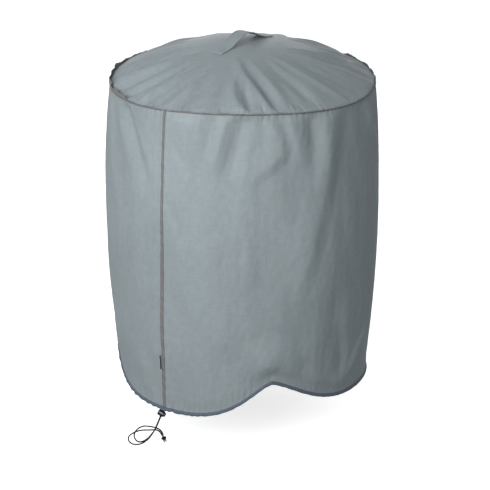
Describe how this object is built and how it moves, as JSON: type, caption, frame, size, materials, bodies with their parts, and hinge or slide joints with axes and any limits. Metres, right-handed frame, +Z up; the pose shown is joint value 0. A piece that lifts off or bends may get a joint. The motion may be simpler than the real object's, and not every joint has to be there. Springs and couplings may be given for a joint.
{
  "type": "grill cover",
  "caption": "Round fabric cover for a kettle grill, with a domed top, bound side seam, hem drawcord with a sprung lock, carrying strap and side label.",
  "frame": {"origin": "centre of the flat underside of the crown patch, where the cover rests on the grill's lid", "axes": "+Z up; the side seam, its label and the cord lock are on the -Y side; the carrying strap runs along Y"},
  "size_m": [0.694, 0.7012, 1.0227],
  "materials": {
    "slate_cloth": "coated plain-weave polyester, slate grey, with a slight sheen",
    "taupe_binding": "folded woven binding tape, taupe grey",
    "hem_tape": "woven hem tape, dark slate blue",
    "black_cord": "braided black polyester cord",
    "lock_plastic": "moulded plastic, near-black navy",
    "spring_steel": "bright spring wire",
    "label_cloth": "folded woven ribbon, near-black, blank"
  },
  "bodies": {
    "root": {"crown_patch": "slate_cloth", "top_panel": "slate_cloth", "skirt_panel": "slate_cloth", "rim_piping": "taupe_binding", "side_seam_binding": "taupe_binding", "hem_casing": "hem_tape", "drawcord_in_hem": "black_cord", "drawcord_tail_left": "black_cord", "drawcord_tail_right": "black_cord", "drawcord_knot": "black_cord", "handle_end_front": "slate_cloth", "handle_end_back": "slate_cloth"},
    "cord_lock": {"cord_lock_barrel": "lock_plastic", "cord_lock_spring": "spring_steel"},
    "lock_button": {"cord_lock_button": "lock_plastic"},
    "strap_grip": {"handle_grip": "slate_cloth"},
    "label": {"side_label": "label_cloth"}
  },
  "joints": [
    {"name": "lock_slide", "type": "slide", "parent": "root", "child": "cord_lock", "axis": [-0.3635, -0.0906, -0.9272], "range_m": [0, 0.028]},
    {"name": "button_press", "type": "slide", "parent": "cord_lock", "child": "lock_button", "axis": [-0.8996, -0.2243, 0.3746], "range_m": [0, 0.003], "stiffness_N_per_m": 500, "springref_m": -0.002, "deforming": ["cord_lock_spring"]},
    {"name": "handle_lift", "type": "slide", "parent": "root", "child": "strap_grip", "axis": [0, 0, 1], "range_m": [-0.015, 0.004]},
    {"name": "label_flap", "type": "hinge", "parent": "root", "child": "label", "pos_m": [0.002, -0.3359, -0.7385], "axis": [0, -0.0781, 0.9969], "range_deg": [-75, 20], "stiffness_Nm_per_rad": 0.0004}
  ]
}
